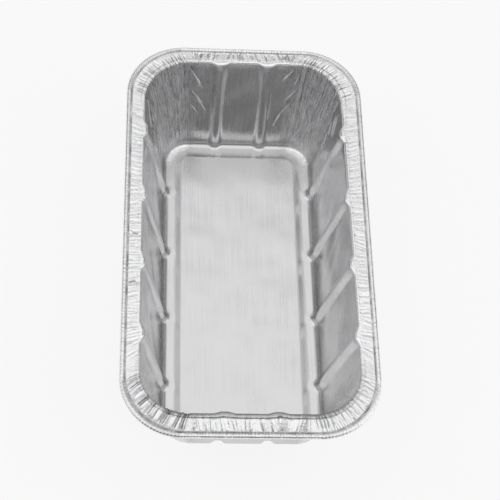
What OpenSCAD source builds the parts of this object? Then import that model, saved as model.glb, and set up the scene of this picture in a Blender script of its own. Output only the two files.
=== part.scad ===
// Disposable foil loaf pan, pressed from one sheet of aluminium foil.
// The sheet runs from the raised base panel up the ribbed walls, over the lip,
// across the crimped flange and round the rolled edge.

/* [Overall size] */
// Length over the rolled edge
pan_l = 228.6; // [200:0.1:280]
// Width over the rolled edge
pan_w = 127; // [112:0.1:160]
// Height from the ground to the top of the rolled edge
pan_h = 63.5; // [45:0.5:80]
// Gauge of the foil
foil_t = 0.1; // [0.07:0.01:0.2]

/* [Walls] */
// Slope of the two long walls, in degrees from upright
side_draft = 10.4; // [4:0.1:13]
// Slope of the two end walls, in degrees from upright
end_draft = 10.4; // [4:0.1:13]
// Corner radius of the opening
opening_r = 25.5; // [18:0.5:30]
// Corner radius where the walls meet the base
base_r = 15; // [12:0.5:20]
// Inner radius of the heel between wall and base
heel_r = 3.5; // [2:0.1:5]

/* [Ribs] */
// Distance between ribs along a long wall
side_rib_pitch = 39.7; // [32:0.1:60]
// Distance between ribs along an end wall
end_rib_pitch = 25.8; // [20:0.1:34]
// Width of a rib at its foot
rib_w = 8; // [6:0.1:12]
// Width of a rib's flat crown
rib_crown = 3; // [1.5:0.1:5]
// Height of a rib above the wall, towards the inside
rib_d = 1.8; // [0.8:0.1:2.6]

/* [Corner pleats] */
// Pleats gathered in each corner
corner_pleats = 10; // [6:1:12]
// Depth of a pleat at the top of the wall
pleat_d = 0.9; // [0.3:0.1:1.4]

/* [Flange] */
// Width of the flange, from the opening to the middle of the rolled edge
flange_w = 8.6; // [6:0.1:12]
// Drop of the flange below the top of the rolled edge
flange_drop = 0.4; // [0:0.1:1]
// Radius of the lip between wall and flange
lip_r = 2.2; // [1:0.1:3]
// Distance between crimps along the straight sides
crimp_pitch = 4; // [3.6:0.1:8]
// Crimps round each corner
corner_crimps = 15; // [10:1:18]
// Depth of the deepest crimp
crimp_d = 0.8; // [0.3:0.1:1.2]

/* [Rolled edge] */
// Diameter of the rolled edge
bead_d = 2.8; // [1.8:0.1:3.5]
// Corner radius of the rolled edge, measured outside
outer_r = 31; // [24:0.5:36]

/* [Base] */
// Distance from the foot of the wall to the raised panel
panel_inset = 7.5; // [6.5:0.1:10]
// Width of the slope up to the raised panel
panel_slope = 1.6; // [0.8:0.1:3]
// Height of the raised panel
panel_rise = 1.2; // [0.5:0.1:2]

/* [Hidden] */

// Seeds of the uneven crimps
crest_seed = 11;
valley_seed = 23;
// Least corner radius of the raised panel
least_r = 1;
// Longest plain stretch of wall between two columns of points
plain_step = 18;
// Share of a rib's height at the inner end of the heel and on the lip
rib_at_heel = 0.8;
rib_at_lip = 0.6;
// Share of the pleat depth at the foot of the wall and on the rolled edge
foot_pleat = 0.2;
bead_pleat = 0.2;
// Where the crimps begin and end, as a share of the way from lip to rolled edge
crimp_from = 0.18;
crimp_to = 0.7;
// Share of the crimp depth that crests and valleys lose at most
crest_loss = 0.25;
valley_loss = 0.45;
// Angles round the rolled edge, from the groove beside the flange outwards, down and back under it
bead_turn = [150, 90, 45, 0, -60, -120, -180];

bead_r = bead_d / 2;
flange_h = pan_h - flange_drop;
open_x = pan_w / 2 - bead_r - flange_w;
open_y = pan_l / 2 - bead_r - flange_w;
foot_x = open_x - (flange_h - foil_t) * tan(side_draft);
foot_y = open_y - (flange_h - foil_t) * tan(end_draft);
// Growth of the corner radius for each millimetre outwards over the flange
corner_flare = (outer_r - opening_r) / (flange_w + bead_r);

function mix(a, b, f) = a + (b - a) * f;
function polar(r, angle) = [r * cos(angle), r * sin(angle)];
function sum_to(list, n, i = 0, total = 0) = i >= n ? total : sum_to(list, n, i + 1, total + list[i]);

// Section of the sheet's inner face, from the base panel to the end of the rolled edge.
// Each row is [distance from the middle, height, angle of the face, rib share, pleat share, crimp share].
function section(open, foot, draft) =
    let (
        heel_run = heel_r * tan((90 - draft) / 2),
        lip_run = lip_r * tan((90 - draft) / 2),
        heel = [foot - heel_run, foil_t + heel_r],
        lip = [open + lip_run, flange_h - lip_r],
        bead = [open + flange_w, pan_h - bead_r],
        heel_end = heel + polar(heel_r, -draft),
        lip_start = lip + polar(lip_r, 180 - draft),
        panel_out = foot - panel_inset
    )
    [
        [panel_out - panel_slope, foil_t + panel_rise, 90, 0, 0, 0],
        [panel_out, foil_t, 90, 0, 0, 0],
        [heel[0], foil_t, 90, rib_at_heel, 0, 0],
        [each heel + polar(heel_r, -(90 + draft) / 2), 90 + (90 - draft) / 2, 1, foot_pleat / 2, 0],
        [each heel_end, 180 - draft, 1, foot_pleat, 0],
        [each mix(heel_end, lip_start, 0.5), 180 - draft, 1, mix(foot_pleat, 1, 0.5), 0],
        [each lip_start, 180 - draft, 1, 1, 0],
        [each lip + polar(lip_r, (270 - draft) / 2), (270 - draft) / 2, rib_at_lip, 1, 0],
        [lip[0], flange_h, 90, 0, 1, 0],
        [mix(lip[0], bead[0], crimp_from), flange_h, 90, 0, 0, 1],
        [mix(lip[0], bead[0], crimp_to), flange_h, 90, 0, 0, 1],
        for (turn = bead_turn) [each bead + polar(bead_r, turn), turn, 0, bead_pleat, 0]
    ];

side_section = section(open_x, foot_x, side_draft);
end_section = section(open_y, foot_y, end_draft);
rows = len(side_section);

// Columns round the pan. A column on a straight side is [side, 0, offset from its middle],
// and one on the corner after that side is [side, 1, angle round the corner].
function rib_middles(half, pitch) =
    let (count = floor((2 * half - rib_w) / pitch) + 1)
    [for (i = [0 : count - 1]) (i - (count - 1) / 2) * pitch];
function rib_marks(half, pitch) =
    [for (middle = rib_middles(half, pitch), edge = [-rib_w, -rib_crown, rib_crown, rib_w])
        middle + edge / 2];
function filled(marks) =
    [for (i = [0 : len(marks) - 1])
        let (gap = i < len(marks) - 1 ? marks[i + 1] - marks[i] : 0, parts = max(1, ceil(gap / plain_step)))
        for (part = [0 : parts - 1]) marks[i] + gap * part / parts];
side_marks = filled(rib_marks(foot_y - base_r, side_rib_pitch));
end_marks = filled(rib_marks(foot_x - base_r, end_rib_pitch));
corner_steps = 2 * corner_pleats;
columns = [
    for (side = [0 : 3]) each [
        for (offset = side % 2 == 0 ? side_marks : end_marks) [side, 0, offset],
        for (i = [0 : corner_steps]) [side, 1, 90 * i / corner_steps]
    ]
];
wall_count = len(columns);

// Outline point of a column, on a rounded rectangle with half sides x and y and corner radius r
function outline(column, x, y, r) =
    let (
        side = column[0],
        along = side % 2 == 0 ? y : x,
        across = side % 2 == 0 ? x : y,
        local = column[1] == 0 ? [across, column[2]] : [across - r, along - r] + polar(r, column[2])
    )
    local[0] * polar(1, 90 * side) + local[1] * polar(1, 90 * side + 90);
function facing(column) = 90 * column[0] + (column[1] == 0 ? 0 : column[2]);
function rib_height(column) =
    let (
        side = column[0],
        half = side % 2 == 0 ? foot_y : foot_x,
        pitch = side % 2 == 0 ? side_rib_pitch : end_rib_pitch,
        nearest = min([for (middle = rib_middles(half - base_r, pitch)) abs(column[2] - middle)])
    )
    column[1] == 1 ? 0 : rib_d * max(0, min(1, (rib_w / 2 - nearest) / (rib_w - rib_crown) * 2));
function pleat_sign(column) = column[1] == 0 ? 0 : round(column[2] / 90 * corner_steps) % 2;

// Radius of the corner at a place in the section, which never closes up to a point
function corner_radius(q, z, open, draft) =
    let (past_wall = q - (open - (flange_h - z) * tan(draft)))
    max(least_r, mix(base_r, opening_r, z / flange_h) + past_wall * (past_wall > 0 ? corner_flare : 1));

// Point of the sheet for a column and a row. depth is 0 on the inner face and foil_t on the outer one.
function sheet_point(column, row, depth) =
    let (
        s = side_section[row],
        e = end_section[row],
        s_face = polar(1, s[2]),
        e_face = polar(1, e[2]),
        pleat = pleat_sign(column) * pleat_d * s[4],
        x = s[0] - s_face[0] * (depth + pleat),
        y = e[0] - e_face[0] * (depth + pleat),
        toward_end = pow(sin(facing(column)), 2),
        z = mix(s[1] - s_face[1] * (depth + pleat), e[1] - e_face[1] * (depth + pleat), toward_end),
        r = mix(corner_radius(x, z, open_x, side_draft), corner_radius(y, z, open_y, end_draft), 0.5),
        flat = outline(column, x, y, r) - polar(rib_height(column) * s[3], facing(column))
    )
    [flat[0], flat[1], z];

// Crimps: extra columns between two neighbouring columns of the wall
function span(i) =
    let (a = columns[i], b = columns[(i + 1) % wall_count])
    norm(outline(b, open_x, open_y, opening_r) - outline(a, open_x, open_y, opening_r));
crimp_splits = [
    for (i = [0 : wall_count - 1])
        columns[i][1] == 1 && columns[(i + 1) % wall_count][1] == 1
            ? (floor((i + 1) * corner_crimps / corner_pleats) - floor(i * corner_crimps / corner_pleats))
            : max(1, round(span(i) * 2 / crimp_pitch))
];
crimp_first = [for (i = [0 : wall_count]) sum_to(crimp_splits, i)];
crimp_count = crimp_first[wall_count];
crest_rand = rands(0, crest_loss, crimp_count, crest_seed);
valley_rand = rands(0, valley_loss, crimp_count, valley_seed);
function crimp_depth(i) = crimp_d * (i % 2 == 0 ? crest_rand[i] : 1 - valley_rand[i]);
function crimp_point(i, part, row, depth) =
    let (
        a = columns[i],
        b = columns[(i + 1) % wall_count],
        f = part / crimp_splits[i],
        round_corner = a[1] == 1 && b[1] == 1,
        here = round_corner
            ? sheet_point([a[0], 1, mix(a[2], b[2], f)], row, depth)
            : mix(sheet_point(a, row, depth), sheet_point(b, row, depth), f)
    )
    [here[0], here[1], here[2] - crimp_depth(crimp_first[i] + part)];

function is_crimped(row) = side_section[row][5] == 1;
function row_points(row, depth) =
    is_crimped(row)
        ? [for (i = [0 : wall_count - 1], part = [0 : crimp_splits[i] - 1]) crimp_point(i, part, row, depth)]
        : [for (column = columns) sheet_point(column, row, depth)];
row_sizes = [for (row = [0 : rows - 1]) is_crimped(row) ? crimp_count : wall_count];
row_first = [for (row = [0 : rows]) sum_to(row_sizes, row)];
face_size = row_first[rows];

// Triangles between two neighbouring rows of one face of the sheet
function strip(row, i, base) =
    let (
        a = base + row_first[row],
        b = base + row_first[row + 1],
        n = row_sizes[row],
        m = row_sizes[row + 1],
        j = (i + 1) % wall_count,
        first = crimp_first[i],
        parts = crimp_splits[i],
        turn = floor(parts / 2)
    )
    n == m && n == wall_count ? [[a + i, a + j, b + j], [a + i, b + j, b + i]]
    : n == m ? [
        for (k = [first : first + parts - 1])
            each [[a + k, a + (k + 1) % n, b + (k + 1) % n], [a + k, b + (k + 1) % n, b + k]]
    ]
    : n < m ? [
        [a + i, a + j, b + (first + turn) % m],
        for (k = [0 : parts - 1]) [a + (k < turn ? i : j), b + (first + k + 1) % m, b + first + k]
    ]
    : [
        [b + j, b + i, a + (first + turn) % n],
        for (k = [0 : parts - 1]) [b + (k < turn ? i : j), a + first + k, a + (first + k + 1) % n]
    ];
function flip(faces) = [for (face = faces) [face[0], face[2], face[1]]];
function face_strips(base) = [
    for (row = [0 : rows - 2], i = [0 : wall_count - 1]) each strip(row, i, base)
];

module foil_pan() {
    inner_middle = 2 * face_size;
    outer_middle = inner_middle + 1;
    last = row_first[rows - 1];
    points = [
        for (row = [0 : rows - 1]) each row_points(row, 0),
        for (row = [0 : rows - 1]) each row_points(row, foil_t),
        [0, 0, foil_t + panel_rise],
        [0, 0, panel_rise]
    ];
    ring = [for (i = [0 : wall_count - 1]) [i, (i + 1) % wall_count]];
    faces = [
        each face_strips(0),
        each flip(face_strips(face_size)),
        for (pair = ring) [inner_middle, pair[1], pair[0]],
        for (pair = ring) [outer_middle, face_size + pair[0], face_size + pair[1]],
        for (pair = ring) each [
            [last + pair[0], last + pair[1], face_size + last + pair[1]],
            [last + pair[0], face_size + last + pair[1], face_size + last + pair[0]]
        ]
    ];
    color("silver") polyhedron(points = points, faces = faces, convexity = 12);
}

foil_pan();
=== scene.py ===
from math import cos, pi, radians, sin, tan
from types import SimpleNamespace

import bmesh
import bpy
import numpy as np
from mathutils import Euler, Matrix, Vector


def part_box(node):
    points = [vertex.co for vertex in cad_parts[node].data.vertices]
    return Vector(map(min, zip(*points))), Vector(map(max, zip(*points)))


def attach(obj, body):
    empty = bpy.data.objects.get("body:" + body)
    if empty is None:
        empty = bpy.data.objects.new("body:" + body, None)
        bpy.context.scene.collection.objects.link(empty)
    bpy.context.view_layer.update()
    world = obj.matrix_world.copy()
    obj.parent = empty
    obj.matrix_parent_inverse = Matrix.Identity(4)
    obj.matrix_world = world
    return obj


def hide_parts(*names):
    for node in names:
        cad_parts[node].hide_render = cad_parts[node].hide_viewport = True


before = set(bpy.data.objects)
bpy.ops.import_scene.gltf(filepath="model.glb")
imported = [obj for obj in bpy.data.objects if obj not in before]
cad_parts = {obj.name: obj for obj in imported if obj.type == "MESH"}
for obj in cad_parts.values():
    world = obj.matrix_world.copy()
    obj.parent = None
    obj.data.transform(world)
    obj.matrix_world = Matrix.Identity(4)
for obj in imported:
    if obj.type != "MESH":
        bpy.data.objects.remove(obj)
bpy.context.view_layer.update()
panLow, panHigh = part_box("foil_pan")
mm = 0.001
print("frame loaded, pan is", [round(v / mm, 1) for v in panHigh - panLow], "mm")


# Scene helpers

def deselectAll():
    if bpy.context.object and bpy.context.object.mode != "OBJECT":
        bpy.ops.object.mode_set(mode="OBJECT")
    bpy.ops.object.select_all(action="DESELECT")


def makeActive(piece):
    deselectAll()
    piece.select_set(True)
    bpy.context.view_layer.objects.active = piece


def readPoints(piece):
    points = np.empty(len(piece.data.vertices) * 3)
    piece.data.vertices.foreach_get("co", points)
    return points.reshape(-1, 3)


def writePoints(piece, points):
    piece.data.vertices.foreach_set("co", np.ascontiguousarray(points).ravel())
    piece.data.update()


def smoothStep(f):
    f = np.clip(f, 0, 1)
    return f * f * (3 - 2 * f)


def softNoise(points, wavelength, seed, waves=9):
    # a sum of waves in random directions, mostly between -1 and 1
    dice = np.random.default_rng(seed)
    total = np.zeros(len(points))
    for _ in range(waves):
        direction = dice.normal(size=3)
        direction /= np.linalg.norm(direction)
        stretch = dice.uniform(0.6, 1.5)
        total += np.sin(points @ direction * (2 * pi * stretch / wavelength) + dice.uniform(0, 2 * pi))
    return total / waves ** 0.5


# The pan starts as a flat blank of rings, and is pressed into shape ring by ring

panShape = {
    "sideDraft": radians(10.4),
    "endDraft": radians(10.4),
    "baseRadius": 15 * mm,
    "openingRadius": 25.5 * mm,
    "outerRadius": 31 * mm,
    "heelRadius": 3.5 * mm,
    "lipRadius": 1.2 * mm,
    "lipRise": 0.1 * mm,  # crest of the lip over the flange
    "lipEnd": radians(40),  # which way the lip faces where it meets the flange
    "flangeWidth": 8.6 * mm,
    "flangeDrop": 0.4 * mm,  # flange lies this far under the top of the rolled edge
    "grooveDepth": 1.1 * mm,  # groove between flange and rolled edge
    "beadRadius": 1.4 * mm,
    "foilGauge": 0.1 * mm,
    "panelInset": 7.5 * mm,
    "panelSlope": 1.6 * mm,
    "panelRise": 1.2 * mm,
    "endLean": 3.0 * mm,  # one end wall leans in by this much at its lip
    "endDrop": 1.0 * mm,  # and its lip lies this much lower
    "sideLean": 1.5 * mm,  # one long wall leans in by this much towards the other end
}

panMesh = {
    "sideColumns": 340,  # points round the flange on one long side
    "endColumns": 128,
    "cornerColumns": 116,
    "wallRings": 13,
    "flangeRings": 7,
    "sideFixed": 76 * mm,  # columns stand square up to here
    "endFixed": 25 * mm,
    "columnPitch": 0.46 * mm,  # width of a column on a straight side
    "panelRings": [place * mm for place in (31, 25, 19, 13.5, 8.5, 4.5, 1.5, 0)],  # in from the panel's edge
    "beadTurns": [radians(turn) for turn in (128, 92, 56, 18, -25, -75, -125)],  # rings round the rolled edge
}


def arc(centre, radius, angles):
    return [(centre[0] + radius * np.cos(a), centre[1] + radius * np.sin(a), a) for a in angles]


def panSection(openAt, footAt, draft, top):
    # rows of (distance from the middle, height, angle that the face looks at, zone, place in the zone)
    s = panShape
    flangeTop = top - s["flangeDrop"]
    heelRun = s["heelRadius"] * tan((pi / 2 - draft) / 2)
    heelMiddle = (footAt - heelRun, s["foilGauge"] + s["heelRadius"])
    sunk = s["lipRise"] - s["lipRadius"]
    lipMiddle = (openAt + (s["lipRadius"] + sunk * sin(draft)) / cos(draft), flangeTop + sunk)
    beadMiddle = (openAt + s["flangeWidth"], top - s["beadRadius"])
    heel = arc(heelMiddle, s["heelRadius"], np.linspace(-pi / 2, -draft, 5))
    lip = arc(lipMiddle, s["lipRadius"], np.linspace(pi - draft, s["lipEnd"], 6))
    panelAt = footAt - s["panelInset"]
    rows = []
    panelTop = s["foilGauge"] + s["panelRise"]
    for place in panMesh["panelRings"]:
        rows.append((panelAt - s["panelSlope"] - place, panelTop, pi / 2, "panel", place))
    rows.append((panelAt, s["foilGauge"], pi / 2, "border", 0))
    rows.append(((panelAt + heelMiddle[0]) / 2, s["foilGauge"], pi / 2, "border", 0.5))
    rows += [(q, z, a + pi, "heel", k / 4) for k, (q, z, a) in enumerate(heel)]
    for f in np.linspace(0, 1, panMesh["wallRings"] + 2)[1:-1]:
        q = heel[-1][0] + (lip[0][0] - heel[-1][0]) * f
        z = heel[-1][1] + (lip[0][1] - heel[-1][1]) * f
        rows.append((q, z, pi - draft, "wall", f))
    rows += [(q, z, a, "lip", k / 5) for k, (q, z, a) in enumerate(lip)]
    flangeEnd = beadMiddle[0] - s["beadRadius"] * 1.4
    for f in np.r_[0.07, np.linspace(0, 1, panMesh["flangeRings"])[1:]]:
        rows.append((lip[-1][0] + (flangeEnd - lip[-1][0]) * f, flangeTop, pi / 2, "flange", f))
    grooveAt = beadMiddle[0] - s["beadRadius"] * 0.98
    rows.append((grooveAt, flangeTop - s["grooveDepth"], pi / 2, "bead", 0))
    turns = panMesh["beadTurns"]
    for k, turn in enumerate(turns):
        curl = 1 - 0.08 * max(0, k - 4)  # the end of the sheet rolls in
        q, z, a = arc(beadMiddle, s["beadRadius"] * curl, [turn])[0]
        rows.append((q, z, a, "bead", (k + 1) / len(turns)))
    return rows


def buildBlank(counts):
    # flat disc with one ring of points for each row; a ring's radius is its number
    deselectAll()
    bpy.ops.mesh.primitive_circle_add(vertices=counts[0], radius=1, fill_type="NGON")
    piece = bpy.context.object
    bpy.ops.object.mode_set(mode="EDIT")
    bpy.ops.mesh.select_mode(type="EDGE")
    bpy.ops.mesh.select_all(action="SELECT")
    bpy.ops.mesh.region_to_loop()
    for ring in range(1, len(counts)):
        bpy.ops.mesh.extrude_edges_move()
        grow = (ring + 1) / ring
        bpy.ops.transform.resize(value=(grow, grow, 1), center_override=(0, 0, 0))
        if counts[ring] > counts[ring - 1]:
            bpy.ops.mesh.subdivide(number_cuts=1, ngon=True, quadcorner="STRAIGHT_CUT")
    bpy.ops.object.mode_set(mode="OBJECT")
    return piece


def ringCounts(rows):
    # the wall has half as many columns as the flange, and the base a quarter
    full = 2 * (panMesh["sideColumns"] + panMesh["endColumns"]) + 4 * panMesh["cornerColumns"]
    share = {"panel": 4, "border": 4, "heel": 2, "wall": 2}
    return [full // share.get(row[3], 1) for row in rows]


def readBlank(piece, rows, counts):
    # row, column and side of each point, from where it lies on the blank
    flat = readPoints(piece)
    full = max(counts)
    row = np.clip(np.rint(np.hypot(flat[:, 0], flat[:, 1])).astype(int) - 1, 0, len(counts) - 1)
    column = np.rint(np.arctan2(flat[:, 1], flat[:, 0]) / (2 * pi) % 1 * full).astype(int) % full
    m = panMesh
    spans = [m["sideColumns"], m["cornerColumns"], m["endColumns"], m["cornerColumns"]] * 2
    starts = np.cumsum([0] + spans)
    stretch = np.searchsorted(starts, column, side="right") - 1
    step = column - starts[stretch]  # columns past the start of this side or corner
    zone = np.array([r[3] for r in rows])[row]
    place = np.array([r[4] for r in rows])[row]
    side = stretch // 2
    return SimpleNamespace(
        row=row, column=column, full=full, stretch=stretch, step=step, zone=zone, place=place, side=side,
        spans=spans, onCorner=stretch % 2 == 1, longSide=side % 2 == 0, f=step / np.array(spans)[stretch],
        heel=zone == "heel", wall=zone == "wall", lip=zone == "lip",
        flange=zone == "flange", bead=zone == "bead",
        level=np.select([zone == "flange", zone == "bead"], [place, 1], 0))


def placeAlong(f, reach, fixed):
    # column places on a straight side: square over the fixed stretch, then on to the corner
    square = 0.9 * fixed / (fixed + 6 * mm) + 0.03
    inner = np.minimum(fixed, reach * 0.93)
    g = 2 * f - 1
    near = g / square * inner
    far = np.sign(g) * (inner + (np.abs(g) - square) / (1 - square) * (reach - inner))
    return np.where(np.abs(g) <= square, near, far)


def formPan(blank, sideRows, endRows, openX, flangeTop):
    # points of the plain pressed sheet, and the way that each one faces
    s = panShape
    table = np.array([[r[0], r[1], r[2], e[0], e[1], e[2]] for r, e in zip(sideRows, endRows)])
    halfX, zSide, aSide, halfY, zEnd, aEnd = table[blank.row].T
    turn = pi / 2 * (blank.side + np.where(blank.onCorner, blank.f, 0))
    towardEnd = np.sin(turn) ** 2
    z = zSide + (zEnd - zSide) * towardEnd
    faceAngle = aSide + (aEnd - aSide) * towardEnd
    pastWall = halfX - (openX - (flangeTop - z) * tan(s["sideDraft"]))
    flare = (s["outerRadius"] - s["openingRadius"]) / (s["flangeWidth"] + s["beadRadius"])
    radius = s["baseRadius"] + (s["openingRadius"] - s["baseRadius"]) * z / flangeTop
    radius = np.maximum(radius + pastWall * np.where(pastWall > 0, flare, 1), 1 * mm)
    across, half = np.where(blank.longSide, halfX, halfY), np.where(blank.longSide, halfY, halfX)
    fixed = np.where(blank.longSide, panMesh["sideFixed"], panMesh["endFixed"])
    slant = foldSlant(blank)
    along = placeAlong(blank.f, half - radius, fixed) + slant
    phi = blank.f * pi / 2 + slant / np.maximum(radius, 10 * mm)
    local = np.where(blank.onCorner, across - radius + radius * np.cos(phi), across)
    blank.along = np.where(blank.onCorner, half - radius + radius * np.sin(phi), along)
    quarter = pi / 2 * blank.side
    turn = quarter + np.where(blank.onCorner, phi, 0)
    points = np.stack([
        local * np.cos(quarter) - blank.along * np.sin(quarter),
        local * np.sin(quarter) + blank.along * np.cos(quarter),
        z,
    ], 1)
    blank.outward = np.stack([np.cos(turn), np.sin(turn), np.zeros(len(z))], 1)
    blank.facing = blank.outward * np.cos(faceAngle)[:, None]
    blank.facing[:, 2] = np.sin(faceAngle)

    # distance along the section, and where the point lay on the flat sheet
    run = np.r_[0, np.cumsum(np.hypot(np.diff(table[:, 0]), np.diff(table[:, 1])))]
    blank.run = run[blank.row]
    spread = blank.run - (halfX - table[0, 0])
    blank.sheet = points[:, :2] + blank.outward[:, :2] * spread[:, None]
    return points


# Folds and dents

panRibs = {
    "sidePlaces": [k * 39.7 * mm for k in (-1.5, -0.5, 0.5, 1.5)],
    "endPlaces": [-12.9 * mm, 12.9 * mm],
    "footWidth": 7.4 * mm,
    "crownWidth": 2.6 * mm,
    "height": 1.8 * mm,
    "flare": 5.0 * mm,  # how much wider a rib is at the lip
}

panFolds = {
    "seed": 41,
    "pleatDepth": 0.8 * mm,  # corner pleats, at the lip
    # the corners are 1, 3, 5 and 7, and the sides are 0, 2, 4 and 6: right, far, left and near
    "pleatSteps": {1: (3, 4, 5, 7), 3: (3, 4, 5, 6), 5: (3, 3, 4, 5, 7), 7: (4, 5, 6, 7, 9)},  # columns
    "pleatStrength": {1: 1.0, 3: 1.0, 5: 1.05, 7: 0.75},  # share of the depth
    "pleatTilt": {1: 0.3, 3: 0.5, 5: 1.0, 7: 0.1},  # how slanted the foil lies between the pleats
    "pleatReach": {1: 0.7, 3: 0.75, 5: 0.95, 7: 0.72},  # share of the flange that the pleats cross
    "crimpDepth": 0.36 * mm,  # finer folds on the outer part of the flange
    "crimpSteps": (2, 3, 3, 4),
    "arcRise": 0.14 * mm,  # smooth arc between the two
    "wallDepth": 0.4 * mm,  # fine upright folds of the corner walls
    "wallSteps": (2, 3, 3, 4, 5),  # columns of the wall, which are twice as wide
    "wrinkleSteps": (2, 3, 3, 4, 4, 5, 6),  # columns in one facet of the straight flange
    "endSteps": (2, 2, 3, 3, 4, 5),  # the same at both ends
    "wrinkleSlope": (0.06, 0.26),  # rise of a facet for its width
    "wrinkleShare": {0: 0.55, 2: 2.0, 4: 0.7, 6: 1.5},
    "slant": 1.5 * mm,  # how far folds lean across the flange
    "hemDepth": 0.32 * mm,  # crimps of the rolled edge at the corners
    "hemShade": {1: 0.24, 3: 0.24, 5: 0.22, 7: 0.08},  # how dark their painted shade is
    "hemPitch": 4,  # columns
    "endHemPitch": 3,  # the same three for the crimps at the straight ends
    "endHemShade": 0.2,
    "endHemDepth": 0.15 * mm,
    "grooveShade": 0.2,  # how dark the painted shade in the groove beside the rolled edge is
    "dentDepth": 0.34 * mm,  # shallow dents of the walls
    "dentSize": 34 * mm,
    "panelDent": 0.12 * mm,
    "insideShade": 0.33,  # how dark the painted shade on the walls and the base is
    "gatherFade": 16 * mm,  # how far the fine pleats of a corner run on along the straight walls
}


def triangleWave(phase):
    return 1 - 2 * np.abs(phase % 1 - 0.5)


def ridge(distance, width, crown):
    # 1 on the crown, down to 0 at the foot, with flanks that are a little soft
    f = np.clip((width / 2 - np.abs(distance)) / ((width - crown) / 2), 0, 1)
    return 0.5 * f + 0.5 * smoothStep(f)


def foldSlant(blank):
    # folds lean across the flange: its columns are shifted one way inside and the other way outside
    none = np.zeros(len(blank.column))
    place = np.stack([blank.column / blank.full * 0.65, none, none], 1)
    lean = softNoise(place, 20 * mm, panFolds["seed"] + 7)
    lean += 0.4 * softNoise(place, 7 * mm, panFolds["seed"] + 8)
    ends = 1 - np.abs(2 * blank.f - 1) ** 6
    share = np.select(
        [blank.lip, blank.flange, blank.bead],
        [-0.5 * blank.place, blank.place - 0.5, 0.5 * (1 - blank.place)], 0)
    return panFolds["slant"] * lean * ends * share * np.where(blank.onCorner, 0.45, 1)


def pressRibs(blank, points):
    # the straight walls step inwards, and each rib opens out into the lip
    share = np.select(
        [blank.heel, blank.wall, blank.lip, blank.flange],
        [0.75 + 0.25 * blank.place, 1, 1 - 0.5 * smoothStep(blank.place),
         0.5 * (1 - smoothStep(blank.place / 0.5))], 0)
    share = np.where((blank.zone == "border") & (blank.place > 0), 0.6, share)
    atEnd = blank.outward[:, 1] < -0.9
    upper = blank.lip | blank.flange
    lower = np.select([blank.wall, upper], [1 - 0.45 * blank.place ** 4, 0.55], 1)
    share = np.where(atEnd, share * lower, share)  # the ribs are lower at the lip of the leaning end
    opening = smoothStep((blank.place - 0.72) / 0.28) * 0.75
    flare = np.select([blank.wall, upper], [opening, 0.75 + 0.25 * blank.place], 0)
    width = panRibs["footWidth"] + panRibs["flare"] * flare
    ribs = np.zeros(len(points))
    for isLong, places in ((True, panRibs["sidePlaces"]), (False, panRibs["endPlaces"])):
        for middle in places:
            here = ~blank.onCorner & (blank.longSide == isLong)
            rib = ridge(blank.along[here] - middle, width[here], panRibs["crownWidth"])
            ribs[here] = np.maximum(ribs[here], rib)
    points -= blank.outward * (ribs * share * panRibs["height"])[:, None]
    return ribs


def valleys(step, length, steps, tilt, dice):
    # narrow valleys, one column wide on each side, between crests that are flat or slanted
    at = np.cumsum(dice.choice(steps, length))
    at = at[at < length - 2]
    places = np.stack([at - 1, at, at + 1], 1).ravel()
    crests = dice.uniform(0, 0.1 + 0.5 * tilt, (len(at), 2))
    crests[:, 0] *= dice.uniform(0, 1, len(at)) < 0.6
    depths = np.stack([crests[:, 0], dice.uniform(0.45, 1, len(at)), crests[:, 1]], 1).ravel()
    return np.interp(step, np.r_[0, places, length], np.r_[0, depths, 0])


def foldCorner(blank, corner, dice):
    folds = panFolds
    here = blank.stretch == corner
    length, step, place = blank.spans[corner], blank.step[here], blank.place[here]
    zones = (blank.heel, blank.wall, blank.lip, blank.flange, blank.bead)
    heel, wall, lip, flange, bead = (zone[here] for zone in zones)
    toEnd = np.minimum(blank.f, 1 - blank.f)[here]
    ends, amid = smoothStep(toEnd * 12), smoothStep(toEnd * 5)

    # pleats run up the wall, over the lip and a part of the way across the flange
    reach = folds["pleatReach"][corner]
    crossing = 1 - smoothStep((place - reach + 0.25) / 0.25)
    pleatShare = np.select([heel, wall, lip, flange], [0.1 * place, 0.1 + 0.9 * place ** 3, 1, crossing], 0)
    pleats = valleys(step, length, folds["pleatSteps"][corner], folds["pleatTilt"][corner], dice)
    pleats *= folds["pleatStrength"][corner]
    depth = pleats * pleatShare * folds["pleatDepth"]
    wallShare = np.select([heel, wall], [0.5 * place, 0.5 + 0.5 * np.sin(pi * place)], 0)
    upright = valleys(step / 2, length // 2, folds["wallSteps"], 0.6, dice) * wallShare * amid
    depth += upright * folds["wallDepth"]

    # finer folds over the rest of the flange, past a smooth arc
    outer = smoothStep((place - reach + 0.1) / 0.2) * (1 - 0.6 * smoothStep((place - 0.85) / 0.15))
    crimps = valleys(step, length, folds["crimpSteps"], 0.3, dice)
    depth += np.where(flange, (0.25 + 0.75 * outer) * crimps * folds["crimpDepth"], 0)
    depth -= np.where(flange, np.exp(-((place - reach) / 0.12) ** 2), 0) * folds["arcRise"]

    # the rolled edge is knurled
    k = place * 6
    turns = step / folds["hemPitch"]
    knurl = triangleWave(turns + k * 0.35) + triangleWave(turns - k * 0.35)
    hem = bead & (place > 0)
    depth += np.where(hem, knurl / 2 * folds["hemDepth"], 0)

    # painted shade: the folds are painted darker in their depth, and so are the knurled edge and the upright wall
    # folds, while the walls get less painted shade amid the corner
    shelter = np.clip(1.2 * pleats - 0.4, 0, 1) * np.where(flange, pleatShare, 0.4 * pleatShare)
    shelter = np.maximum(shelter, np.where(hem, folds["hemShade"][corner] * knurl, 0.35 * upright))
    plain = blank.shelter[here] * np.where(wall | heel, 1 - amid, 1)
    blank.shelter[here] = np.maximum(plain, shelter * ends)
    return here, depth * ends


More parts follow.
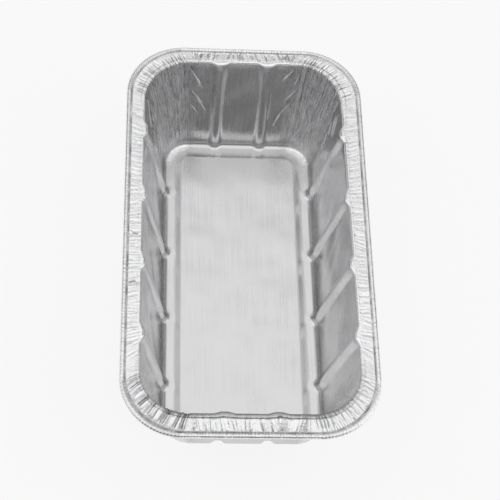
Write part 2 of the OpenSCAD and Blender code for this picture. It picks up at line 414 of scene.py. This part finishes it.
def wrinkleStraight(blank, straight, dice):
    # facets that rise over a few columns and drop in one, as folds do when they are pressed flat
    folds = panFolds
    here = (blank.stretch == straight) & (blank.lip | blank.flange | blank.bead)
    length, step, place = blank.spans[straight], blank.step[here], blank.place[here]
    widths = dice.choice(folds["endSteps" if straight in (2, 6) else "wrinkleSteps"], length)
    starts = np.r_[0, np.cumsum(widths)]
    facet = np.searchsorted(starts, step, side="right") - 1
    rise = (step - starts[facet]) / (widths[facet] - 1)
    pitch = panMesh["columnPitch"]
    spots = np.stack([starts * pitch, starts * 0, starts * 0], 1)
    regions = softNoise(spots, 30 * mm, folds["seed"] + straight)
    rise = np.where(regions[facet] > 0, rise, 1 - rise)
    height = widths * pitch * dice.uniform(*folds["wrinkleSlope"], length) * folds["wrinkleShare"][straight]
    innerShare, outerShare = dice.uniform(0.3, 1.2, length), dice.uniform(0.3, 1.2, length)
    level = blank.level[here]
    share = innerShare[facet] + (outerShare - innerShare)[facet] * level
    onLip = smoothStep(place * 2.5 - 1.5) * 0.5
    onFlange = 0.5 + 0.5 * smoothStep(place * 5) - 0.6 * smoothStep((place - 0.8) / 0.2)
    share *= np.select([blank.lip[here], blank.flange[here]], [onLip, onFlange], 0.12)
    ends = smoothStep(np.minimum(blank.f, 1 - blank.f)[here] * 20)
    depth = rise * height[facet] * share * ends
    if straight in (2, 6):
        teeth = blank.bead[here] & (step % folds["endHemPitch"] == 0)
        depth += teeth * folds["endHemDepth"]
        # each crimp tooth also gets painted shade
        blank.shelter[here] += teeth * folds["endHemShade"]
    return here, depth


def dentPan(blank, points, ribs):
    # the foil is never quite flat
    folds = panFolds
    share = np.where(blank.wall, np.sin(pi * np.clip(blank.place, 0, 1)) ** 0.6, 0) * (1 - ribs)
    dents = softNoise(points, folds["dentSize"], folds["seed"] + 2)
    dents += 0.3 * softNoise(points, folds["dentSize"] / 3, folds["seed"] + 3)
    points -= blank.facing * (share * dents * folds["dentDepth"])[:, None]
    share = np.where(blank.zone == "panel", smoothStep(blank.place / (8 * mm)), 0)
    dents = softNoise(points, 40 * mm, folds["seed"] + 4)
    dents += 0.35 * softNoise(points, 13 * mm, folds["seed"] + 5)
    points[:, 2] += share * dents * folds["panelDent"]

    # one end wall leans in a little at the top
    lipShare = 1 - 0.35 * np.minimum(blank.place / 0.6, 1)
    flangeShare = 0.65 * (1 - smoothStep(blank.place / 0.8))
    lean = np.select([blank.wall, blank.lip, blank.flange], [blank.place ** 2, lipShare, flangeShare], 0)
    drop = np.select([blank.wall, blank.lip], [blank.place ** 8, 1 - np.minimum(blank.place / 0.6, 1)], 0)
    atEnd = np.maximum(0, -blank.outward[:, 1]) ** 2
    # painted shade along the lip of the leaning end, darkest on its last row where it meets the flange
    crease = np.where(blank.lip, np.where(blank.place == 1, 0.8, 0.5), 0)
    blank.shelter = np.maximum(blank.shelter, crease * atEnd)
    points[:, 1] += panShape["endLean"] * lean * atEnd
    points[:, 2] -= panShape["endDrop"] * drop * atEnd

    # and one long wall leans in a little towards the other end
    atSide = np.maximum(0, blank.outward[:, 0]) ** 2 * smoothStep(points[:, 1] / panHigh.y * 0.6 + 0.4)
    points[:, 0] -= panShape["sideLean"] * lean * atSide


def markPan(piece, blank):
    # how much the foil is gathered, and how much painted shade it gets for lying deep in a fold, at each point,
    # for the finish
    gather = np.select([blank.wall, blank.lip, blank.flange, blank.bead], [0.12, 0.3, 0.5, 0.4], 0.0)
    wallGather = np.where(blank.outward[:, 1] > 0, 2.0, 1.0)
    corner = np.select([blank.heel, blank.wall, blank.lip], [0.5, wallGather, 1.5], gather)
    straightEnd = np.where(blank.longSide, panHigh.y, panHigh.x) - panShape["outerRadius"]
    fade = smoothStep(1 - (straightEnd - np.abs(blank.along)) / panFolds["gatherFade"])
    gather += (np.maximum(corner, gather) - gather) * np.where(blank.onCorner, 1, fade)
    for name, values in (("gathered", gather), ("sheltered", blank.shelter), ("creased", gather * 0)):
        attribute = piece.data.attributes.new(name, "FLOAT", "POINT")
        attribute.data.foreach_set("value", values.astype(np.float32))

    # one map runs along the edge and along the section, in metres, the other lies on the flat sheet
    corners = np.empty(len(piece.data.loops), dtype=int)
    piece.data.loops.foreach_get("vertex_index", corners)
    u = blank.column[corners] / blank.full
    faceStart = np.empty(len(piece.data.polygons), dtype=int)
    faceSize = np.empty(len(piece.data.polygons), dtype=int)
    piece.data.polygons.foreach_get("loop_start", faceStart)
    piece.data.polygons.foreach_get("loop_total", faceSize)
    owner = np.repeat(np.arange(len(faceSize)), faceSize)
    highest = np.maximum.reduceat(u, faceStart)
    u = np.where((u < 0.25) & (highest[owner] > 0.75) & (faceSize[owner] < 9), u + 1, u)
    perimeter = 4 * (panHigh.x + panHigh.y) * 0.93
    maps = {"foilRun": np.stack([u * perimeter, blank.run[corners]], 1), "foilSheet": blank.sheet[corners]}
    for name, uv in maps.items():
        layer = piece.data.uv_layers.new(name=name)
        layer.data.foreach_set("uv", uv.ravel())


def pressPan():
    s, top = panShape, panHigh.z
    flangeTop = top - s["flangeDrop"]
    openX = panHigh.x - s["beadRadius"] - s["flangeWidth"]
    openY = panHigh.y - s["beadRadius"] - s["flangeWidth"]
    footX = openX - (flangeTop - s["foilGauge"]) * tan(s["sideDraft"])
    footY = openY - (flangeTop - s["foilGauge"]) * tan(s["endDraft"])
    sideRows = panSection(openX, footX, s["sideDraft"], top)
    endRows = panSection(openY, footY, s["endDraft"], top)
    counts = ringCounts(sideRows)
    piece = buildBlank(counts)
    print("blank of", len(piece.data.vertices), "points")

    blank = readBlank(piece, sideRows, counts)
    points = formPan(blank, sideRows, endRows, openX, flangeTop)
    ribs = pressRibs(blank, points)
    depth = np.zeros(len(points))
    # painted shade: the groove beside the rolled edge is painted darker, more at the ends and a little unevenly,
    # and the walls and base inside are painted darker
    grooveShade = panFolds["grooveShade"] + 0.25 * blank.outward[:, 1] ** 2
    grooveShade += 0.15 * softNoise(points, 5 * mm, panFolds["seed"] + 9)
    rim = blank.lip | blank.flange | blank.bead
    outerShade = np.where(blank.bead & (blank.place == 0), grooveShade, 0)
    blank.shelter = np.where(rim, outerShade, panFolds["insideShade"])
    dice = np.random.default_rng(panFolds["seed"])
    for corner in (1, 3, 5, 7):
        here, folds = foldCorner(blank, corner, dice)
        depth[here] += folds
    for straight in (0, 2, 4, 6):
        here, folds = wrinkleStraight(blank, straight, dice)
        depth[here] += folds
    points -= blank.facing * depth[:, None]
    dentPan(blank, points, ribs)
    points[:, 2] = np.minimum(points[:, 2], top)
    flat = blank.lip & (blank.place > 0.75) & (blank.outward[:, 1] > -0.9)
    points[flat, 2] = np.maximum(points[flat, 2], flangeTop - depth[flat])
    writePoints(piece, points)
    markPan(piece, blank)
    return piece


panCreases = {
    "seed": 19,
    "heights": (60 * mm, 54 * mm, 45 * mm, 37 * mm, 30 * mm),  # where the creases beside a corner start
    "length": (5 * mm, 20 * mm),
    "lean": (20, 36),  # degrees from upright
    "width": 1.3 * mm,
    "rise": 0.85 * mm,
    "edgeShade": 0.55,  # how dark the painted shade beside a crease is
    "fromCorner": 2 * mm,  # past the end of the round corner
}


def creaseLines():
    # sharp creases beside each corner, which run down and towards the middle of the wall
    s, c = panShape, panCreases
    dice = np.random.default_rng(c["seed"])
    flangeTop = panHigh.z - s["flangeDrop"]
    for quarter in range(4):
        half, along = (panHigh.x, panHigh.y) if quarter % 2 == 0 else (panHigh.y, panHigh.x)
        draft = s["sideDraft"] if quarter % 2 == 0 else s["endDraft"]
        openAt = half - s["beadRadius"] - s["flangeWidth"]
        turn = Matrix.Rotation(pi / 2 * quarter, 3, "Z")
        inward = turn @ Vector((-cos(draft), 0, sin(draft)))
        for way in (-1, 1):
            if (turn @ Vector((0, way, 0))).y < -0.5:
                continue  # the long walls are smooth towards the leaning end
            for height in c["heights"]:
                z = height + dice.uniform(-2, 2) * mm
                length, lean = dice.uniform(*c["length"]), radians(dice.uniform(*c["lean"]))
                aside = along - s["beadRadius"] - s["flangeWidth"] - s["openingRadius"]
                aside += c["fromCorner"] + dice.uniform(-4, 3) * mm - (flangeTop - z) * 0.06
                rows = []
                for f in (0, 1):
                    low = max(z - f * length * cos(lean), 8 * mm)
                    place = (openAt - (flangeTop - low) * tan(draft), way * (aside - f * length * sin(lean)), low)
                    rows.append(turn @ Vector(place))
                yield rows[0], rows[1], inward, dice.uniform(0.5, 1) * c["rise"]


def creasePan(piece):
    # each crease is three cuts side by side, and the points between the outer two are pushed inwards
    width = panCreases["width"]
    makeActive(piece)
    bpy.ops.object.mode_set(mode="EDIT")
    bpy.ops.mesh.select_mode(type="FACE")
    for start, end, inward, rise in creaseLines():
        line = (end - start).normalized()
        across = line.cross(inward).normalized()
        middle, reach = (start + end) / 2, (end - start).length / 2
        for shift in (-0.5, 0, 0.5):
            bpy.ops.mesh.select_all(action="DESELECT")
            mesh = bmesh.from_edit_mesh(piece.data)
            for face in mesh.faces:
                away = face.verts[0].co - middle
                close = away.length < reach + 2 * mm and abs(away.dot(across)) < 3 * mm
                face.select_set(close and face.normal.dot(inward) > 0.5)
            bpy.ops.mesh.bisect(plane_co=middle + across * (shift * width), plane_no=across)
        mesh = bmesh.from_edit_mesh(piece.data)
        creased, sheltered = mesh.verts.layers.float["creased"], mesh.verts.layers.float["sheltered"]
        for point in mesh.verts:
            away = point.co - middle
            if away.length < reach and abs(away.dot(across)) < width / 2:
                share = (1 - abs(away.dot(across)) / (width / 2)) * (1 - (away.dot(line) / reach) ** 2)
                point.co += inward * (rise * share)
                point[creased] = max(point[creased], min(1, 1.6 * share))
                # the crest loses its painted shade, and the foil just beside it is painted darker
                point[sheltered] *= 1 - min(1, 1.6 * share)
            elif away.length < reach and abs(away.dot(across)) < width * 0.6:
                point[sheltered] = panCreases["edgeShade"]
        bmesh.update_edit_mesh(piece.data)
    bpy.ops.object.mode_set(mode="OBJECT")


# Foil finish

foilLook = {
    "brightColor": (0.93, 0.93, 0.935, 1),
    "satinColor": (0.82, 0.82, 0.825, 1),
    "brightRoughness": (0.16, 0.30),
    "satinRoughness": (0.28, 0.42),
    "creaseBump": 0.8,
    "creaseScatter": 1.0,  # how far a sharp crease loses its mirror finish
    "shelterShade": 0.3,  # how dark full painted shade makes the colour, as at the bottom of a fold
    "crinkleScale": 260.0,
    "pleatScale": 900.0,
    "rollingScale": 1500.0,
    "crumpleScale": 850.0,
    "smudgeScale": 55.0,
    "foldLines": (0.51, 0.68),  # part of the pleats that is drawn as dark lines of painted shade
    "foldShade": 0.3,
    "crumpleMost": 0.5,
    "facetShare": 0.07,
    "lineShare": 0.05,
    "hazeRange": (0.12, 0.42),
}


def addNode(tree, kind, place, **settings):
    node = tree.nodes.new(kind)
    node.location = place
    for name, value in settings.items():
        if name in node.inputs:
            node.inputs[name].default_value = value
        else:
            setattr(node, name, value)
    return node


def makeFoilGroup():
    # crinkles and rolling lines of thin foil: puts out a height, a roughness mask and dark fold lines of painted
    # shade
    group = bpy.data.node_groups.new("foilGrain", "ShaderNodeTree")
    face = group.interface
    scales = {name: foilLook[name.lower() + "Scale"] for name in ("Crinkle", "Pleat", "Rolling")}
    face.new_socket(name="Gathered", in_out="INPUT", socket_type="NodeSocketFloat").default_value = 0.0
    for name, value in scales.items():
        socket = face.new_socket(name=name + " Scale", in_out="INPUT", socket_type="NodeSocketFloat")
        socket.default_value = value
    for name in ("Height", "Haze", "Folds"):
        face.new_socket(name=name, in_out="OUTPUT", socket_type="NodeSocketFloat")
    inward = addNode(group, "NodeGroupInput", (-900, 0))
    out = addNode(group, "NodeGroupOutput", (700, 0))
    coords = addNode(group, "ShaderNodeTexCoord", (-900, -300))
    runMap = addNode(group, "ShaderNodeUVMap", (-900, 300), uv_map="foilRun")
    link = group.links.new

    # fine pleats run across the edge, so they are stretched along the section
    stretchPleats = addNode(group, "ShaderNodeMapping", (-700, 300), Scale=(1, 0.12, 1))
    pleats = addNode(group, "ShaderNodeTexNoise", (-500, 300), noise_dimensions="2D", Detail=3.0, Roughness=0.6)
    link(runMap.outputs["UV"], stretchPleats.inputs["Vector"])
    link(stretchPleats.outputs["Vector"], pleats.inputs["Vector"])
    link(inward.outputs["Pleat Scale"], pleats.inputs["Scale"])
    pleatShare = addNode(group, "ShaderNodeMath", (-300, 300), operation="MULTIPLY")
    link(pleats.outputs["Fac"], pleatShare.inputs[0])
    link(inward.outputs["Gathered"], pleatShare.inputs[1])

    # the sharpest of them are drawn as dark lines of painted shade
    low, high = foilLook["foldLines"]
    foldLines = addNode(group, "ShaderNodeMapRange", (-300, 500))
    foldLines.inputs["From Min"].default_value = low
    foldLines.inputs["From Max"].default_value = high
    foldLines.inputs["To Max"].default_value = foilLook["foldShade"]
    link(pleats.outputs["Fac"], foldLines.inputs["Value"])
    foldShare = addNode(group, "ShaderNodeMath", (-100, 500), operation="MULTIPLY")
    link(foldLines.outputs["Result"], foldShare.inputs[0])
    link(inward.outputs["Gathered"], foldShare.inputs[1])
    link(foldShare.outputs[0], out.inputs["Folds"])

    # small crumples between the pleats
    crumples = addNode(group, "ShaderNodeTexNoise", (-500, 150), Scale=foilLook["crumpleScale"], Detail=2.0)
    link(coords.outputs["Object"], crumples.inputs["Vector"])
    crumpleMost = addNode(group, "ShaderNodeMath", (-300, 150), operation="MINIMUM")
    crumpleMost.inputs[1].default_value = foilLook["crumpleMost"]
    link(inward.outputs["Gathered"], crumpleMost.inputs[0])
    crumpleShare = addNode(group, "ShaderNodeMath", (-100, 250), operation="MULTIPLY_ADD")
    link(crumples.outputs["Fac"], crumpleShare.inputs[0])
    link(crumpleMost.outputs[0], crumpleShare.inputs[1])
    link(pleatShare.outputs[0], crumpleShare.inputs[2])

    # shallow facets all over
    facets = addNode(group, "ShaderNodeTexNoise", (-500, 0), Detail=1.5, Roughness=0.4)
    link(coords.outputs["Object"], facets.inputs["Vector"])
    link(inward.outputs["Crinkle Scale"], facets.inputs["Scale"])
    facetShare = addNode(group, "ShaderNodeMath", (-300, 0), operation="MULTIPLY")
    facetShare.inputs[1].default_value = foilLook["facetShare"]
    link(facets.outputs["Fac"], facetShare.inputs[0])

    # rolling lines along the length of the sheet
    sheetMap = addNode(group, "ShaderNodeUVMap", (-900, -300), uv_map="foilSheet")
    stretchLines = addNode(group, "ShaderNodeMapping", (-700, -300), Scale=(1, 0.02, 1))
    lines = addNode(group, "ShaderNodeTexNoise", (-500, -300), noise_dimensions="2D", Detail=2.0)
    link(sheetMap.outputs["UV"], stretchLines.inputs["Vector"])
    link(stretchLines.outputs["Vector"], lines.inputs["Vector"])
    link(inward.outputs["Rolling Scale"], lines.inputs["Scale"])

    first = addNode(group, "ShaderNodeMath", (0, 200), operation="ADD")
    link(crumpleShare.outputs[0], first.inputs[0])
    link(facetShare.outputs[0], first.inputs[1])
    lineShare = addNode(group, "ShaderNodeMath", (0, -100), operation="MULTIPLY_ADD")
    lineShare.inputs[1].default_value = foilLook["lineShare"]
    link(lines.outputs["Fac"], lineShare.inputs[0])
    link(first.outputs[0], lineShare.inputs[2])
    link(lineShare.outputs[0], out.inputs["Height"])

    smudges = addNode(group, "ShaderNodeTexNoise", (-500, -600), Scale=foilLook["smudgeScale"], Detail=4.0)
    link(coords.outputs["Object"], smudges.inputs["Vector"])
    haze = addNode(group, "ShaderNodeMath", (0, -500), operation="MULTIPLY")
    link(smudges.outputs["Fac"], haze.inputs[0])
    link(lines.outputs["Fac"], haze.inputs[1])
    hazeRange = addNode(group, "ShaderNodeMapRange", (250, -500))
    hazeRange.inputs["From Min"].default_value = foilLook["hazeRange"][0]
    hazeRange.inputs["From Max"].default_value = foilLook["hazeRange"][1]
    link(haze.outputs[0], hazeRange.inputs["Value"])
    link(hazeRange.outputs["Result"], out.inputs["Haze"])
    return group


def makeFoil(name, color, roughness, grain):
    material = bpy.data.materials.new(name)
    material.use_nodes = True
    tree = material.node_tree
    shader = tree.nodes["Principled BSDF"]

    # a sharp crease breaks the mirror finish, so it scatters light
    creased = addNode(tree, "ShaderNodeAttribute", (-900, 600), attribute_name="creased")
    metal = addNode(tree, "ShaderNodeMath", (-350, 600), operation="MULTIPLY_ADD")
    metal.inputs[1].default_value, metal.inputs[2].default_value = -foilLook["creaseScatter"], 1.0
    tree.links.new(creased.outputs["Fac"], metal.inputs[0])
    tree.links.new(metal.outputs[0], shader.inputs["Metallic"])
    gathered = addNode(tree, "ShaderNodeAttribute", (-900, 0), attribute_name="gathered")
    group = addNode(tree, "ShaderNodeGroup", (-650, 0))
    group.node_tree = grain
    tree.links.new(gathered.outputs["Fac"], group.inputs["Gathered"])

    # painted shade: the base colour is darkened by the painted shade mask and the painted fold lines
    sheltered = addNode(tree, "ShaderNodeAttribute", (-900, 300), attribute_name="sheltered")
    paintedShadeMix = addNode(tree, "ShaderNodeMix", (-350, 350), data_type="RGBA")
    depth = addNode(tree, "ShaderNodeMath", (-500, 350), operation="ADD", use_clamp=True)
    tree.links.new(sheltered.outputs["Fac"], depth.inputs[0])
    tree.links.new(group.outputs["Folds"], depth.inputs[1])
    tree.links.new(depth.outputs[0], paintedShadeMix.inputs[0])
    paintedShadeMix.inputs[6].default_value = color
    paintedShadeMix.inputs[7].default_value = [c * foilLook["shelterShade"] for c in color[:3]] + [1]
    tree.links.new(paintedShadeMix.outputs[2], shader.inputs["Base Color"])

    rough = addNode(tree, "ShaderNodeMapRange", (-350, 100))
    rough.inputs["To Min"].default_value, rough.inputs["To Max"].default_value = roughness
    tree.links.new(group.outputs["Haze"], rough.inputs["Value"])
    tree.links.new(rough.outputs["Result"], shader.inputs["Roughness"])
    bump = addNode(tree, "ShaderNodeBump", (-350, -200), Strength=foilLook["creaseBump"], Distance=0.4 * mm)
    tree.links.new(group.outputs["Height"], bump.inputs["Height"])
    tree.links.new(bump.outputs["Normal"], shader.inputs["Normal"])
    return material


foilGrain = makeFoilGroup()
brightFoil = makeFoil("brightFoil", foilLook["brightColor"], foilLook["brightRoughness"], foilGrain)
satinFoil = makeFoil("satinFoil", foilLook["satinColor"], foilLook["satinRoughness"], foilGrain)
print("foil finishes made")


# The pan

pan = pressPan()
pan.name = "foil_pan_pressed"
pan.data.name = pan.name
pan.data.materials.append(brightFoil)
pan.data.materials.append(satinFoil)
print("pan pressed")
creasePan(pan)
print("walls creased")

makeActive(pan)
solidify = pan.modifiers.new("gauge", "SOLIDIFY")
solidify.thickness = panShape["foilGauge"]
solidify.offset = -1
solidify.use_rim = True
solidify.material_offset = 1
solidify.material_offset_rim = 1
bpy.ops.object.modifier_apply(modifier=solidify.name)
bpy.ops.object.shade_smooth_by_angle(angle=radians(38))
print("foil has its gauge,", sum(len(f.vertices) - 2 for f in pan.data.polygons), "triangles")

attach(pan, "root")
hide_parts("foil_pan")


# Studio: pale floor, soft lamps, plain world

studio = {
    "floorSize": 100.0,
    "floorColor": (0.80, 0.80, 0.80, 1),
    "floorGlow": 0.85,  # share of plain white that the camera and reflections see in the floor
    "worldLevel": 1.05,
    "skyShades": ((0.12, 0.96), (0.26, 0.27), (0.60, 0.20), (0.75, 0.42), (0.84, 1.0)),  # height and shade
    "lampAim": (0, 0, 0.03),
    # place, size and power of each lamp
    "lamps": {
        "keyLamp": ((-1.1, -0.1, 0.9), (1.4, 1.05), 3.0),
        "fillLamp": ((1.2, -0.3, 0.8), (1.3, 1.3), 4.0),
        "backLamp": ((0.0, 1.4, 0.9), (1.6, 0.5), 2.0),
    },
}

deselectAll()
bpy.ops.mesh.primitive_plane_add(size=studio["floorSize"])
floor = bpy.context.object
floor.name = "floor"

floorPaint = bpy.data.materials.new("floorPaint")
floorPaint.use_nodes = True
tree = floorPaint.node_tree
tree.nodes.remove(tree.nodes["Principled BSDF"])
paint = addNode(tree, "ShaderNodeBsdfDiffuse", (-200, 100), Color=studio["floorColor"])
glow = addNode(tree, "ShaderNodeEmission", (-200, -100), Strength=1.0)


def whiteShare(tree, share):
    # how much plain white a ray sees: camera, glossy and transmission rays only
    path = addNode(tree, "ShaderNodeLightPath", (-900, 300))
    total = addNode(tree, "ShaderNodeMath", (-700, 300), operation="MAXIMUM")
    tree.links.new(path.outputs["Is Camera Ray"], total.inputs[0])
    tree.links.new(path.outputs["Is Glossy Ray"], total.inputs[1])
    both = addNode(tree, "ShaderNodeMath", (-550, 300), operation="MAXIMUM")
    tree.links.new(total.outputs[0], both.inputs[0])
    tree.links.new(path.outputs["Is Transmission Ray"], both.inputs[1])
    scaled = addNode(tree, "ShaderNodeMath", (-400, 300), operation="MULTIPLY")
    tree.links.new(both.outputs[0], scaled.inputs[0])
    scaled.inputs[1].default_value = share
    return scaled.outputs[0]


blend = addNode(tree, "ShaderNodeMixShader", (50, 0))
tree.links.new(whiteShare(tree, studio["floorGlow"]), blend.inputs["Fac"])
tree.links.new(paint.outputs["BSDF"], blend.inputs[1])
tree.links.new(glow.outputs["Emission"], blend.inputs[2])
tree.links.new(blend.outputs[0], tree.nodes["Material Output"].inputs["Surface"])
floor.data.materials.append(floorPaint)

world = bpy.data.worlds.new("studioWorld")
bpy.context.scene.world = world
world.use_nodes = True
tree = world.node_tree
sky = tree.nodes["Background"]
coords = addNode(tree, "ShaderNodeTexCoord", (-900, 0))
split = addNode(tree, "ShaderNodeSeparateXYZ", (-700, 0))
tree.links.new(coords.outputs["Generated"], split.inputs["Vector"])
ramp = addNode(tree, "ShaderNodeValToRGB", (-500, 0))
stops = ramp.color_ramp.elements
stops[0].color = stops[1].color = (1, 1, 1, 1)
for height, shade in studio["skyShades"]:
    stops.new(height).color = (shade, shade, shade * 1.01, 1)
tree.links.new(split.outputs["Z"], ramp.inputs["Fac"])
tree.links.new(ramp.outputs["Color"], sky.inputs["Color"])
level = addNode(tree, "ShaderNodeMapRange", (-200, -200))
level.inputs["To Min"].default_value, level.inputs["To Max"].default_value = studio["worldLevel"], 1.0
tree.links.new(whiteShare(tree, 1.0), level.inputs["Value"])
tree.links.new(level.outputs["Result"], sky.inputs["Strength"])


def softLamp(name, place, aim, size, power):
    lamp = bpy.data.lights.new(name, "AREA")
    lamp.shape, lamp.size, lamp.size_y, lamp.energy = "RECTANGLE", size[0], size[1], power
    holder = bpy.data.objects.new(name, lamp)
    bpy.context.scene.collection.objects.link(holder)
    holder.location = place
    holder.rotation_euler = (Vector(aim) - Vector(place)).to_track_quat("-Z", "Y").to_euler()
    return holder


for name, (place, size, power) in studio["lamps"].items():
    softLamp(name, place, studio["lampAim"], size, power)

photoView = {
    "place": (-0.05306, -0.35593, 0.66911),
    "tilt": (29.512, -4.398, -1.206),
    "lens": 99.56,
    "sensor": 36,
}
cameraData = bpy.data.cameras.new("camera")
camera = bpy.data.objects.new("camera", cameraData)
bpy.context.scene.collection.objects.link(camera)
camera.location = photoView["place"]
camera.rotation_euler = Euler([radians(a) for a in photoView["tilt"]])
cameraData.lens, cameraData.sensor_width = photoView["lens"], photoView["sensor"]
cameraData.clip_start = 0.01
bpy.context.scene.camera = camera
bpy.context.scene.view_settings.view_transform = "Standard"
print("studio and camera ready")
